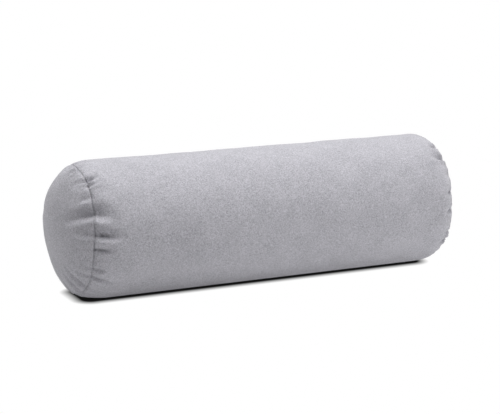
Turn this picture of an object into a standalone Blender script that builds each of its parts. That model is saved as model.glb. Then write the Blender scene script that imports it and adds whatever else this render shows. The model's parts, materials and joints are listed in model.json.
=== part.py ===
"""Bolster pillow: a zipped fabric cover round a stuffed inner cushion, lying on its side.

Metres, +Z up, +X along the bolster. The origin is on the floor, below the middle of the body.
The front is -Y; the zip runs along the back, above the widest line.
"""
import math

import bmesh
import bpy
from mathutils import Vector

# Driving dimensions of the stuffed body at rest.
BODY_WIDTH = 0.207
BODY_HEIGHT = 0.198
BELLY_DROP = 0.001         # the widest line's depth below half height
FLAT_WIDTH = 0.050         # what touches the floor
LOWER_FULLNESS = 1.97      # exponent of the lower half's curve: 2 is an ellipse
SEAM_SPACING = 0.582       # from one end seam to the other
SHOULDER_LENGTH = 0.040    # where the body draws in towards each end seam
SHOULDER_POWER = 2.25
SEAM_DRAW_IN = 0.0095      # how much smaller the seam's radius is than the body's
SEAM_LIFT = 0.0003         # the seam's centre above half height
END_CROWN = 0.036          # how far each end bulges past its seam
CROWN_POWER = 0.85         # 1 is a parabola; less is blunter

# Cloth.
COVER_THICKNESS = 0.0014
LINER_THICKNESS = 0.0006
COVER_ALLOWANCE = 0.006    # seam allowance, turned inwards
LINER_ALLOWANCE = 0.003
THREAD_RADIUS = 0.0003
STITCH_INSET = 0.0015      # from the edge of an allowance to its row of stitches
GAP = 0.0003               # between pieces that touch

# Zip.
ZIP_ANGLE = math.radians(24)
ZIP_END_MARGIN = 0.066     # from each end seam to the chain
CHAIN_HALF_WIDTH = 0.00235
CHAIN_MIDDLE_GAP = 0.00015
CHAIN_HEIGHT = 0.0018
TAPE_WIDTH = 0.0130
TAPE_THICKNESS = 0.0006
TAPE_HALF_GAP = 0.0011
TAPE_OVERRUN = 0.0250      # tape past the chain, at each end
SLOT_HALF_WIDTH = 0.0050
SLOT_OVERRUN = 0.0100      # slot past the chain, at each end
TOPSTITCH_MARGIN = 0.0035  # from the slot's edge to the row of stitches
STOP_LENGTH = 0.0026

# Zip slider and its pull.
SLIDER_LENGTH = 0.0100
SLIDER_FRONT_HALF_WIDTH = 0.0044
SLIDER_REAR_HALF_WIDTH = 0.0036
SLIDER_PLATE = 0.0010
SLIDER_LIP = 0.0008        # width of the lips that hold the chain in
SLIDER_CLEARANCE = 0.00035
DIVIDER_LENGTH = 0.0020
DIVIDER_HALF_WIDTH = 0.0007
BRIDGE_LENGTH = 0.0062
BRIDGE_HALF_WIDTH = 0.0008
BRIDGE_WALL = 0.0011
PULL_LENGTH = 0.0260
PULL_HALF_WIDTH = 0.0031
PULL_NECK_HALF_WIDTH = 0.0026
PULL_THICKNESS = 0.0012
PULL_WINDOW = 0.0050       # from the hinge bar to the far side of the window

# Label, sewn in beside the zip tape.
LABEL_LENGTH = 0.040
LABEL_THICKNESS = 0.0003
LABEL_START = -0.160       # its left end, along X
CLOSING_LENGTH = 0.120     # hand-closed stretch of the inner cushion

# Facets round the section, in three runs: floor corner to zip, zip to floor corner, floor.
STEPS_BELOW_ZIP = 9
STEPS_OVER_TOP = 20
STEPS_ON_FLOOR = 3
LABEL_STEPS = (3, 1)       # facets below the zip that the label spans
CLOSING_STEP = 12          # facets past the zip, over the top, to the inner cushion's closed stretch

BELLY_HEIGHT = BODY_HEIGHT / 2 - BELLY_DROP
SEAM_RADIUS = (BODY_WIDTH + BODY_HEIGHT) / 4 - SEAM_DRAW_IN
SEAM_CENTRE_HEIGHT = BODY_HEIGHT / 2 + SEAM_LIFT
HALF_SPACING = SEAM_SPACING / 2
STRAIGHT_END = HALF_SPACING - SHOULDER_LENGTH
CHAIN_LENGTH = SEAM_SPACING - 2 * ZIP_END_MARGIN
TAPE_INSET = COVER_THICKNESS + GAP
LINER_INSET = TAPE_INSET + TAPE_THICKNESS + GAP
CHAIN_BASE = -TAPE_INSET + GAP
CHAIN_TOP = CHAIN_BASE + CHAIN_HEIGHT
ZIP_RELIEF = 2 * SLIDER_CLEARANCE + SLIDER_PLATE + 2 * GAP  # the inner cushion gives way to the slider


class Layer:
    """One bag of cloth: a body panel and two end panels that share its sizes."""

    def __init__(self, inset, thickness, seam_radius, crown, allowance, relief):
        self.inset = inset
        self.thickness = thickness
        self.seam_radius = seam_radius
        self.crown = crown
        self.allowance = allowance
        self.relief = relief


COVER = Layer(0.0, COVER_THICKNESS, SEAM_RADIUS, END_CROWN, COVER_ALLOWANCE, 0.0)
LINER = Layer(
    LINER_INSET,
    LINER_THICKNESS,
    SEAM_RADIUS - COVER_ALLOWANCE - COVER_THICKNESS - 2 * GAP,
    END_CROWN - LINER_INSET,
    LINER_ALLOWANCE,
    ZIP_RELIEF,
)
FILLING = Layer(
    LINER_INSET + LINER_THICKNESS + GAP,
    0.0,
    LINER.seam_radius - LINER_ALLOWANCE - LINER_THICKNESS - 2 * GAP,
    LINER.crown - LINER_THICKNESS - 2 * GAP,
    0.0,
    ZIP_RELIEF,
)


# ---- Materials and objects ----

def material(name, colour, roughness, metallic=0.0):
    made = bpy.data.materials.new(name)
    made.use_nodes = True
    shader = made.node_tree.nodes["Principled BSDF"]
    shader.inputs["Base Color"].default_value = (*colour, 1.0)
    shader.inputs["Roughness"].default_value = roughness
    shader.inputs["Metallic"].default_value = metallic
    return made


def add_object(name, data, look, parent=None):
    made = bpy.data.objects.new(name, data)
    bpy.context.scene.collection.objects.link(made)
    made.data.materials.append(look)
    made.parent = parent
    return made


def mesh_object(name, bm, look, parent=None, smooth=True):
    bmesh.ops.recalc_face_normals(bm, faces=bm.faces)
    mesh = bpy.data.meshes.new(name)
    bm.to_mesh(mesh)
    bm.free()
    if smooth:
        mesh.shade_smooth()
        mesh.set_sharp_from_angle(angle=math.radians(40))
    return add_object(name, mesh, look, parent)


# ---- The resting section ----

def floor_depth():
    """How deep the lower half would reach if the floor didn't flatten it."""
    share = FLAT_WIDTH / BODY_WIDTH
    return BELLY_HEIGHT / (1 - share**LOWER_FULLNESS) ** (1 / LOWER_FULLNESS)


def section_angles():
    """Angles round the section, from the right floor corner over the top, with one exactly at the zip."""
    corner = math.atan2(BELLY_HEIGHT / floor_depth(), FLAT_WIDTH / BODY_WIDTH)
    first, last, turn = -corner, math.pi + corner, math.tau - corner
    runs = (
        (first, ZIP_ANGLE, STEPS_BELOW_ZIP),
        (ZIP_ANGLE, last, STEPS_OVER_TOP),
        (last, turn, STEPS_ON_FLOOR),
    )
    return [a + (b - a) * i / steps for a, b, steps in runs for i in range(steps)]


ANGLES = section_angles()
ZIP_INDEX = STEPS_BELOW_ZIP


def body_section(inset, relief=0.0):
    """The straight body's outline in the YZ plane, that far inside the cover's outer face."""
    points = []
    for i, angle in enumerate(ANGLES):
        c, s = math.cos(angle), math.sin(angle)
        power = LOWER_FULLNESS if s < 0 else 2.0
        reach = (abs(c) ** power + abs(s) ** power) ** (-1 / power)
        rise = (floor_depth() if s < 0 else BODY_HEIGHT - BELLY_HEIGHT) - inset
        drawn_in = relief if i == ZIP_INDEX else 0.0
        y = (BODY_WIDTH / 2 - inset) * reach * c - drawn_in * c
        z = BELLY_HEIGHT + rise * reach * s - drawn_in * s
        points.append(Vector((y, max(z, inset))))
    return points


def seam_circle(radius):
    return [
        Vector((radius * math.cos(a), SEAM_CENTRE_HEIGHT + radius * math.sin(a)))
        for a in ANGLES
    ]


def ring(x, outline):
    return [Vector((x, p.x, p.y)) for p in outline]


def shoulder_ring(layer, x, depth=0.0):
    """A ring of the body at x, from the plain section to the seam's circle; depth is into the cloth."""
    along = max(0.0, (abs(x) - STRAIGHT_END) / SHOULDER_LENGTH)
    share = min(1.0, along) ** SHOULDER_POWER
    plain = body_section(layer.inset + depth, layer.relief)
    circle = seam_circle(layer.seam_radius - depth)
    return ring(x, [p.lerp(q, share) for p, q in zip(plain, circle)])


def crown_ring(layer, side, share, depth=0.0, start=0.0):
    """A ring of the end's bulge: share runs from 1 at the seam to 0 at the tip."""
    rise = (layer.crown - depth - start) * (1 - share**2) ** CROWN_POWER
    return ring(side * (HALF_SPACING + start + rise), seam_circle((layer.seam_radius - depth) * share))


def skin(bm, rings, closed=False):
    """Faces between rings of points that follow each other. A ring of one point is a tip."""
    loops = [[bm.verts.new(p) for p in points] for points in rings]
    pairs = list(zip(loops, loops[1:]))
    if closed:
        pairs.append((loops[-1], loops[0]))
    for a, b in pairs:
        count = max(len(a), len(b))
        for i in range(count):
            j = (i + 1) % count
            corners = [a[i % len(a)], a[j % len(a)], b[j % len(b)], b[i % len(b)]]
            bm.faces.new(dict.fromkeys(corners))


# ---- Cloth panels, threads and filling ----

def body_stations(steps):
    """Places along X from the left seam to the right one, close together only on the shoulders."""
    right = [STRAIGHT_END + SHOULDER_LENGTH * i / steps for i in range(steps + 1)]
    return [-x for x in reversed(right)] + right


def body_panel(name, layer, look, steps):
    """The cloth wrapped round the body, with both allowances turned in: one closed wall."""
    stations = body_stations(steps)
    wall = layer.thickness
    outer = [shoulder_ring(layer, x) for x in stations]
    inner = [shoulder_ring(layer, x, wall) for x in stations[1:-1]]
    hems = {}
    for side in (-1, 1):
        edge = seam_circle(layer.seam_radius - layer.allowance)
        hems[side] = [
            ring(side * HALF_SPACING, edge),
            ring(side * (HALF_SPACING - wall), edge),
            shoulder_ring(layer, side * (HALF_SPACING - wall), wall),
        ]
    bm = bmesh.new()
    skin(bm, outer + hems[1] + inner[::-1] + hems[-1][::-1], closed=True)
    return mesh_object(name, bm, look)


def end_panel(name, layer, side, look, steps):
    """A round end that bulges outwards, with its allowance against the body panel's."""
    wall = layer.thickness
    shares = [math.sin(math.pi / 2 * i / steps) for i in range(1, steps + 1)]
    tip = [Vector((side * (HALF_SPACING + layer.crown), 0, SEAM_CENTRE_HEIGHT))]
    inner_tip = [Vector((side * (HALF_SPACING + layer.crown - wall), 0, SEAM_CENTRE_HEIGHT))]
    edge = seam_circle(layer.seam_radius - layer.allowance)
    outer = [crown_ring(layer, side, share, start=GAP) for share in shares]
    hem = [
        ring(side * (HALF_SPACING + GAP), edge),
        ring(side * (HALF_SPACING + GAP + wall), edge),
    ]
    inner = [crown_ring(layer, side, share, wall, GAP + wall) for share in reversed(shares)]
    bm = bmesh.new()
    skin(bm, [tip] + outer + hem + inner + [inner_tip])
    return mesh_object(name, bm, look)


def filling(name, look, steps):
    """Everything inside the liner, as one soft mass."""
    shares = [math.sin(math.pi / 2 * i / steps) for i in range(1, steps)]
    rings = [shoulder_ring(FILLING, x) for x in body_stations(steps)]
    left, right = ([crown_ring(FILLING, side, share) for share in shares] for side in (-1, 1))
    tips = [[Vector((s * (HALF_SPACING + FILLING.crown), 0, SEAM_CENTRE_HEIGHT))] for s in (-1, 1)]
    bm = bmesh.new()
    skin(bm, [tips[0]] + left + rings + right[::-1] + [tips[1]])
    return mesh_object(name, bm, look)


def thread(name, points, look, closed=False, parent=None):
    """A row of stitches, as one round cord."""
    curve = bpy.data.curves.new(name, "CURVE")
    curve.dimensions = "3D"
    curve.bevel_depth = THREAD_RADIUS
    curve.bevel_resolution = 1
    curve.use_fill_caps = not closed
    spline = curve.splines.new("POLY")
    spline.points.add(len(points) - 1)
    for place, p in zip(spline.points, points):
        place.co = (*p, 1.0)
    spline.use_cyclic_u = closed
    return add_object(name, curve, look, parent)


def end_seam_thread(name, layer, side, look):
    """The stitches through both allowances, lying on the body panel's."""
    radius = layer.seam_radius - layer.allowance + STITCH_INSET
    x = side * (HALF_SPACING - layer.thickness - GAP - THREAD_RADIUS)
    return thread(name, ring(x, seam_circle(radius)), look, closed=True)


def back_seam_thread(name, side, look):
    """Where the body panel's long edges are sewn together, between the zip and an end seam."""
    start = CHAIN_LENGTH / 2 + SLOT_OVERRUN + 2 * GAP
    stop = HALF_SPACING - COVER_THICKNESS - 4 * THREAD_RADIUS - 2 * GAP
    depth = COVER_THICKNESS + GAP + THREAD_RADIUS
    places = [start + (stop - start) * i / 4 for i in range(5)]
    return thread(name, [shoulder_ring(COVER, side * x, depth)[ZIP_INDEX] for x in places], look)


def closing_thread(name, look):
    """The stretch of the liner that is closed by hand once it is filled."""
    inset = COVER_THICKNESS + GAP + THREAD_RADIUS
    p = body_section(inset)[ZIP_INDEX + CLOSING_STEP]
    return thread(name, [(x, p.x, p.y) for x in (-CLOSING_LENGTH / 2, CLOSING_LENGTH / 2)], look)


def prism(name, outline, start, stop, look, parent=None):
    """An outline in the YZ plane, drawn out along X."""
    bm = bmesh.new()
    face = bm.faces.new([bm.verts.new((start, y, z)) for y, z in outline])
    grown = bmesh.ops.extrude_face_region(bm, geom=[face])
    moved = [v for v in grown["geom"] if isinstance(v, bmesh.types.BMVert)]
    bmesh.ops.translate(bm, verts=moved, vec=(stop - start, 0, 0))
    return mesh_object(name, bm, look, parent, smooth=False)


def care_label(name, look):
    """A blank label inside the cover, beside the zip tape."""
    inset = COVER_THICKNESS + 1.5 * GAP
    picked = [ZIP_INDEX - i for i in range(LABEL_STEPS[0], LABEL_STEPS[1] - 1, -1)]
    outer, inner = body_section(inset), body_section(inset + LABEL_THICKNESS)
    outline = [outer[i] for i in picked] + [inner[i] for i in reversed(picked)]
    return prism(name, outline, LABEL_START, LABEL_START + LABEL_LENGTH, look)


# ---- Zip, in a frame of its own: +X along the chain, +Y out of the cloth, +Z up the cloth ----

def zip_frame():
    """An empty on the cover's outer face at the zip, and how far each facet beside it falls away."""
    outline = body_section(0.0)
    below, here, above = (outline[ZIP_INDEX + i] for i in (-1, 0, 1))
    up = ((above - here).normalized() + (here - below).normalized()).normalized()
    fall = (above - here).angle(up)
    made = bpy.data.objects.new("zip_frame", None)
    bpy.context.scene.collection.objects.link(made)
    made.location = (0, here.x, here.y)
    made.rotation_euler = (math.atan2(-up.x, up.y), 0, 0)
    return made, fall


def on_facet(distance, height, fall):
    """(y, z) of a point that far up or down the cloth from the zip's line and that far above it."""
    way = math.copysign(1, distance)
    y = height * math.cos(fall) - abs(distance) * math.sin(fall)
    z = way * (abs(distance) * math.cos(fall) + height * math.sin(fall))
    return y, z


def zip_tape(name, way, look, frame, fall):
    top, bottom = -TAPE_INSET, -TAPE_INSET - TAPE_THICKNESS
    near, far = way * TAPE_HALF_GAP, way * (TAPE_HALF_GAP + TAPE_WIDTH)
    corners = ((near, top), (far, top), (far, bottom), (near, bottom))
    half = CHAIN_LENGTH / 2 + TAPE_OVERRUN
    return prism(name, [on_facet(d, h, fall) for d, h in corners], -half, half, look, frame)


def zip_coil(name, way, look, frame):
    """One row of the chain, as a bar with its corners taken off."""
    near, far = CHAIN_MIDDLE_GAP, CHAIN_HALF_WIDTH
    chamfer = CHAIN_HEIGHT / 4
    outline = (
        (CHAIN_BASE, near), (CHAIN_BASE, far - chamfer), (CHAIN_BASE + chamfer, far),
        (CHAIN_TOP - chamfer, far), (CHAIN_TOP, far - chamfer), (CHAIN_TOP, near),
    )
    corners = [(y, way * z) for y, z in outline]
    return prism(name, corners, -CHAIN_LENGTH / 2, CHAIN_LENGTH / 2, look, frame)


def box(name, low, high, look, parent=None, bevel=0.0):
    bm = bmesh.new()
    bmesh.ops.create_cube(bm, size=1.0)
    size = Vector(high) - Vector(low)
    bmesh.ops.scale(bm, verts=bm.verts, vec=size)
    bmesh.ops.translate(bm, verts=bm.verts, vec=(Vector(high) + Vector(low)) / 2)
    made = mesh_object(name, bm, look, parent, smooth=False)
    if bevel:
        add_bevel(made, bevel)
    return made


def add_bevel(obj, width):
    modifier = obj.modifiers.new("soft_edges", "BEVEL")
    modifier.width = width
    modifier.segments = 1


def combine(target, tool, operation):
    """A Boolean whose tool stays as a hidden helper."""
    modifier = target.modifiers.new(tool.name, "BOOLEAN")
    modifier.object = tool
    modifier.operation = operation
    tool.hide_render = True
    tool.display_type = "WIRE"


def cut_zip_slot(panel, look, frame):
    half = CHAIN_LENGTH / 2 + SLOT_OVERRUN
    reach = 3 * COVER_THICKNESS
    slot = box("slot_cutter", (-half, -reach, -SLOT_HALF_WIDTH), (half, reach, SLOT_HALF_WIDTH), look, frame)
    combine(panel, slot, "DIFFERENCE")


def zip_topstitch(name, look, frame, fall):
    """One row of stitches all round the slot, through the cover and the tapes."""
    half = CHAIN_LENGTH / 2 + SLOT_OVERRUN + TOPSTITCH_MARGIN
    height = GAP + THREAD_RADIUS
    edge = SLOT_HALF_WIDTH + TOPSTITCH_MARGIN
    points = []
    for x, way in ((-half, 1), (half, -1)):
        points.append((x, *on_facet(-way * edge, height, fall)))
        points.append((x, height / math.cos(fall), 0.0))
        points.append((x, *on_facet(way * edge, height, fall)))
    return thread(name, points, look, closed=True, parent=frame)


def zip_stops(look, frame):
    """Two top stops ahead of the closed slider, one on each tape, and the bottom stop across both."""
    start = slider_rest() + SLIDER_LENGTH / 2 + SLIDER_CLEARANCE
    low, high = CHAIN_BASE, CHAIN_TOP - 2 * GAP
    near, far = TAPE_HALF_GAP + GAP, CHAIN_HALF_WIDTH + SLIDER_LIP
    bevel = STOP_LENGTH / 8
    upper_z, lower_z = (near, far), (-far, -near)
    for name, (z0, z1) in (("zip_top_stop_upper", upper_z), ("zip_top_stop_lower", lower_z)):
        box(name, (start, low, z0), (start + STOP_LENGTH, high, z1), look, frame, bevel)
    end = -CHAIN_LENGTH / 2 - GAP
    half = CHAIN_HALF_WIDTH
    box("zip_bottom_stop", (end - STOP_LENGTH, low, -half), (end, high, half), look, frame, bevel)


def slider_rest():
    """The slider's middle along X with the zip closed: its divider is just past the chain's end."""
    return CHAIN_LENGTH / 2 + GAP + DIVIDER_LENGTH - SLIDER_LENGTH / 2


def plate(name, low, high, look, parent):
    """A plate of the slider, wider at its front than at its rear."""
    front, rear, half = SLIDER_FRONT_HALF_WIDTH, SLIDER_REAR_HALF_WIDTH, SLIDER_LENGTH / 2
    nose = SLIDER_LENGTH / 5
    outline = ((-half, -rear), (0, -front), (half - nose, -front), (half, -front + nose / 2))
    corners = outline + tuple((x, -z) for x, z in reversed(outline))
    bm = bmesh.new()
    face = bm.faces.new([bm.verts.new((x, low, z)) for x, z in corners])
    grown = bmesh.ops.extrude_face_region(bm, geom=[face])
    moved = [v for v in grown["geom"] if isinstance(v, bmesh.types.BMVert)]
    bmesh.ops.translate(bm, verts=moved, vec=(0, high - low, 0))
    return mesh_object(name, bm, look, parent, smooth=False)


def zip_slider(look, frame):
    """Two plates with the chain between them, joined by the divider, with a bridge for the pull."""
    slider_frame = bpy.data.objects.new("slider_frame", None)
    bpy.context.scene.collection.objects.link(slider_frame)
    slider_frame.parent = frame
    slider_frame.location = (slider_rest(), 0, 0)

    under = CHAIN_TOP + SLIDER_CLEARANCE
    top = under + SLIDER_PLATE
    floor_top = -TAPE_INSET - TAPE_THICKNESS - 2 * SLIDER_CLEARANCE
    half, overlap = SLIDER_LENGTH / 2, SLIDER_PLATE / 2
    lip_low = CHAIN_BASE + GAP
    slider = plate("zip_slider", under, top, look, slider_frame)
    joined = [plate("slider_floor", floor_top - SLIDER_PLATE, floor_top, look, slider_frame)]
    joined.append(box(
        "slider_divider",
        (half - DIVIDER_LENGTH, floor_top - overlap, -DIVIDER_HALF_WIDTH),
        (half - GAP, under + overlap, DIVIDER_HALF_WIDTH), look, slider_frame,
    ))
    for way in (-1, 1):
        near = way * (CHAIN_HALF_WIDTH + SLIDER_CLEARANCE)
        far = near + way * SLIDER_LIP
        joined.append(box(
            f"slider_lip_{way}",
            (-half + GAP, lip_low, min(near, far)),
            (half - SLIDER_LENGTH / 4, under + overlap, max(near, far)), look, slider_frame,
        ))
    joined.append(slider_bridge(top, look, slider_frame))
    for piece in joined:
        combine(slider, piece, "UNION")
    return slider_frame, top


def bar_height(top):
    """The pull's hinge bar, high enough to turn over the slider's top plate."""
    return top + PULL_THICKNESS + SLIDER_CLEARANCE


def slider_bridge(top, look, parent):
    """The arch over the top plate that the pull hangs in."""
    half = BRIDGE_LENGTH / 2
    hollow = half - BRIDGE_WALL
    ceiling = bar_height(top) + PULL_THICKNESS / 2 + SLIDER_CLEARANCE
    crown = ceiling + BRIDGE_WALL
    foot = top - SLIDER_PLATE / 2
    outline = (
        (-half, foot), (-half, ceiling), (-hollow, crown), (hollow, crown), (half, ceiling), (half, foot),
        (hollow, foot), (hollow, ceiling), (-hollow, ceiling), (-hollow, foot),
    )
    bm = bmesh.new()
    face = bm.faces.new([bm.verts.new((x, y, -BRIDGE_HALF_WIDTH)) for x, y in outline])
    grown = bmesh.ops.extrude_face_region(bm, geom=[face])
    moved = [v for v in grown["geom"] if isinstance(v, bmesh.types.BMVert)]
    bmesh.ops.translate(bm, verts=moved, vec=(0, 0, 2 * BRIDGE_HALF_WIDTH))
    return mesh_object("slider_bridge", bm, look, parent, smooth=False)


def zip_pull(top, look, slider_frame):
    """The pull tab, its origin on its hinge: a tapered plate with a window that the bridge goes through."""
    bar = PULL_THICKNESS / 2
    neck, wide, end = PULL_NECK_HALF_WIDTH, PULL_HALF_WIDTH, PULL_LENGTH
    outline = ((bar, -neck), (-PULL_WINDOW, -neck), (-end + wide / 2, -wide), (-end, -wide / 2))
    corners = outline + tuple((x, -z) for x, z in reversed(outline))
    bm = bmesh.new()
    face = bm.faces.new([bm.verts.new((x, -bar, z)) for x, z in corners])
    grown = bmesh.ops.extrude_face_region(bm, geom=[face])
    moved = [v for v in grown["geom"] if isinstance(v, bmesh.types.BMVert)]
    bmesh.ops.translate(bm, verts=moved, vec=(0, 2 * bar, 0))
    pull = mesh_object("zip_pull_tab", bm, look, slider_frame, smooth=False)
    pull.location = (0, bar_height(top), 0)
    window = box(
        "pull_window", (-PULL_WINDOW, -2 * bar, -BRIDGE_HALF_WIDTH - SLIDER_CLEARANCE),
        (-bar, 2 * bar, BRIDGE_HALF_WIDTH + SLIDER_CLEARANCE), look, pull,
    )
    combine(pull, window, "DIFFERENCE")
    return pull


def build():
    for obj in list(bpy.data.objects):
        bpy.data.objects.remove(obj)

    cover_cloth = material("grey_brushed_cloth", (0.36, 0.355, 0.375), 0.92)
    liner_cloth = material("natural_cotton", (0.78, 0.74, 0.66), 0.9)
    cover_thread = material("grey_thread", (0.27, 0.265, 0.285), 0.7)
    liner_thread = material("white_thread", (0.85, 0.84, 0.8), 0.7)
    tape_cloth = material("grey_zip_tape", (0.30, 0.295, 0.31), 0.85)
    nylon = material("grey_nylon", (0.24, 0.235, 0.25), 0.45)
    metal = material("nickel", (0.62, 0.61, 0.60), 0.3, 1.0)
    wadding = material("white_wadding", (0.88, 0.87, 0.84), 1.0)
    satin = material("white_satin", (0.86, 0.86, 0.85), 0.5)

    body = body_panel("cover_body_panel", COVER, cover_cloth, steps=5)
    body_panel("liner_body_panel", LINER, liner_cloth, steps=4)
    filling("filling", wadding, steps=4)
    for side, word in ((-1, "left"), (1, "right")):
        end_panel(f"cover_end_panel_{word}", COVER, side, cover_cloth, steps=7)
        end_panel(f"liner_end_panel_{word}", LINER, side, liner_cloth, steps=5)
        end_seam_thread(f"cover_end_seam_thread_{word}", COVER, side, cover_thread)
        end_seam_thread(f"liner_end_seam_thread_{word}", LINER, side, liner_thread)
        back_seam_thread(f"back_seam_thread_{word}", side, cover_thread)
    closing_thread("liner_closing_thread", liner_thread)
    care_label("care_label", satin)

    frame, fall = zip_frame()
    cut_zip_slot(body, cover_cloth, frame)
    for way, word in ((-1, "lower"), (1, "upper")):
        zip_tape(f"zip_tape_{word}", way, tape_cloth, frame, fall)
        zip_coil(f"zip_coil_{word}", way, nylon, frame)
    zip_topstitch("zip_topstitch", cover_thread, frame, fall)
    zip_stops(metal, frame)
    slider_frame, top = zip_slider(metal, frame)
    zip_pull(top, metal, slider_frame)


build()
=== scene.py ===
# Bolster pillow: the looks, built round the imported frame.
import json
import math
import random

import bmesh
import bpy
from mathutils import Matrix, Vector, noise


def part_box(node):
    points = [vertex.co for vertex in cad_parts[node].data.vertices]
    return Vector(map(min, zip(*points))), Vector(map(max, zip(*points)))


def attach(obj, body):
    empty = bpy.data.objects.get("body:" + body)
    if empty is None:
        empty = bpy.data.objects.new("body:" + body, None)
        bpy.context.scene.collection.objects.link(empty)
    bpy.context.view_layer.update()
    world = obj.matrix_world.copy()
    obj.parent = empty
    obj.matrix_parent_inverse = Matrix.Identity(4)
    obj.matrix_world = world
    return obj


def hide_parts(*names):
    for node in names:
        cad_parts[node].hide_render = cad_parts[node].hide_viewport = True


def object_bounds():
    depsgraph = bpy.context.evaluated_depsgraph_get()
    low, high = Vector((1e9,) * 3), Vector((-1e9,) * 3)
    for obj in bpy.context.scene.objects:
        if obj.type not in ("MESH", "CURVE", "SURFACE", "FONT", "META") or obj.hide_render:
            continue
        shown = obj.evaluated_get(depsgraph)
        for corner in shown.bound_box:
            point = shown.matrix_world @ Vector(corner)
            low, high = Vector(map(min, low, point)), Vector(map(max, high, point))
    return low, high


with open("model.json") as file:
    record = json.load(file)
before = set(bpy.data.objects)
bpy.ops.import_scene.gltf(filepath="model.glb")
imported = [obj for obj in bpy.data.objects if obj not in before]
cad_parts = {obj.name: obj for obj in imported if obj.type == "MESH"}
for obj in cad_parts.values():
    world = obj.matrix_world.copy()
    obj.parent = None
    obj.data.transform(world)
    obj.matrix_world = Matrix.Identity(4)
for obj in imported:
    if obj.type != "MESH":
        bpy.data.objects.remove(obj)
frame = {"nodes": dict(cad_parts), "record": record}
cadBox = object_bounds()
random.seed(7)
print("frame loaded:", len(frame["nodes"]), "parts")

view = {
    "azimuth": -25.3,      # degrees; the left end is nearer
    "elevation": 12.0,
    "distance": 2.376,
    "lens": 112.6,
    "aimAcross": -0.0111,  # the aim's offset from the middle of the bolster
    "aimUp": 0.0074,
}


def makeCamera():
    low, high = cadBox
    centre = Vector((0, 0, (low[2] + high[2]) / 2))
    a, e = math.radians(view["azimuth"]), math.radians(view["elevation"])
    away = Vector((math.sin(a) * math.cos(e), -math.cos(a) * math.cos(e), math.sin(e)))
    turn = away.to_track_quat("Z", "Y")
    right, up = turn @ Vector((1, 0, 0)), turn @ Vector((0, 1, 0))
    data = bpy.data.cameras.new("camera")
    data.lens = view["lens"]
    data.sensor_width = 36.0
    data.clip_start = 0.01
    camera = bpy.data.objects.new("camera", data)
    bpy.context.scene.collection.objects.link(camera)
    camera.location = centre + away * view["distance"] + right * view["aimAcross"] + up * view["aimUp"]
    camera.rotation_mode = "QUATERNION"
    camera.rotation_quaternion = turn
    bpy.context.scene.camera = camera


class Wire:
    # a node's output that can be added, multiplied and so on
    def __init__(self, graph, socket):
        self.graph = graph
        self.socket = socket

    def maths(self, operation, *others):
        inputs = dict(enumerate((self,) + others))
        return self.graph.node("ShaderNodeMath", {"operation": operation}, inputs)["Value"]

    def __add__(self, other):
        return self.maths("ADD", other)

    def __sub__(self, other):
        return self.maths("SUBTRACT", other)

    def __rsub__(self, other):
        return (self * -1.0).maths("ADD", other)

    def __mul__(self, other):
        return self.maths("MULTIPLY", other)

    def __truediv__(self, other):
        return self.maths("DIVIDE", other)

    def __pow__(self, other):
        return self.maths("POWER", other)

    def clamped(self):
        return self.maths("MAXIMUM", 0.0).maths("MINIMUM", 1.0)


class Graph:
    def __init__(self, tree):
        self.tree = tree

    def node(self, kind, settings, inputs):
        made = self.tree.nodes.new(kind)
        for key, value in settings.items():
            setattr(made, key, value)
        for key, value in inputs.items():
            self.feed(made.inputs[key], value)
        return {out.name: Wire(self, out) for out in made.outputs if out.enabled}

    def feed(self, socket, value):
        if isinstance(value, Wire):
            self.tree.links.new(value.socket, socket)
        else:
            socket.default_value = value


class Surface(Graph):
    def __init__(self, name, fixed):
        self.material = bpy.data.materials.new(name)
        self.material.use_nodes = True
        super().__init__(self.material.node_tree)
        self.shader = self.tree.nodes["Principled BSDF"]
        for socket, value in fixed.items():
            self.shader.inputs[socket].default_value = value

    def end(self, socket, value):
        self.feed(self.shader.inputs[socket], value)

    def place(self):
        return self.node("ShaderNodeTexCoord", {}, {})["Object"]

    def clothPlace(self):
        return self.node("ShaderNodeUVMap", {"uv_map": "cloth"}, {})["UV"]

    def split(self, vector):
        parts = self.node("ShaderNodeSeparateXYZ", {}, {"Vector": vector})
        return parts["X"], parts["Y"], parts["Z"]

    def blendColour(self, share, a, b):
        return self.node("ShaderNodeMix", {"data_type": "RGBA"}, {0: share, 6: a, 7: b})["Result"]

    def stretched(self, vector, scale):
        made = self.node("ShaderNodeVectorMath", {"operation": "MULTIPLY"}, {0: vector, 1: scale})
        return made["Vector"]

    def noise(self, vector, scale, detail=2.0, rough=0.5):
        inputs = {"Vector": vector, "Scale": scale, "Detail": detail, "Roughness": rough}
        made = self.node("ShaderNodeTexNoise", {}, inputs)
        return made.get("Factor") or made["Fac"]

    def bump(self, height, distance, strength=1.0):
        inputs = {"Height": height, "Distance": distance, "Strength": strength}
        self.end("Normal", self.node("ShaderNodeBump", {}, inputs)["Normal"])


def grey(value, warm=0.0):
    return (value * (1 + warm), value, value * (1 - warm), 1.0)


light = {
    "sky": 0.75,
    "dimFrom": (-0.72, -0.69, -0.05),  # the side of the room that sends the least light
    "dim": 0.85,
    "dimSpread": 1.3,
    "topSize": 1.7,
    "topHeight": 1.9,
    "topPower": 46.0,
    "topForward": 0.15,
    "cardAway": 0.34,       # a black card stands this far from the near end, where the room is dim
    "cardSize": (0.62, 0.46),
    "cardLift": 0.01,
}


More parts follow.
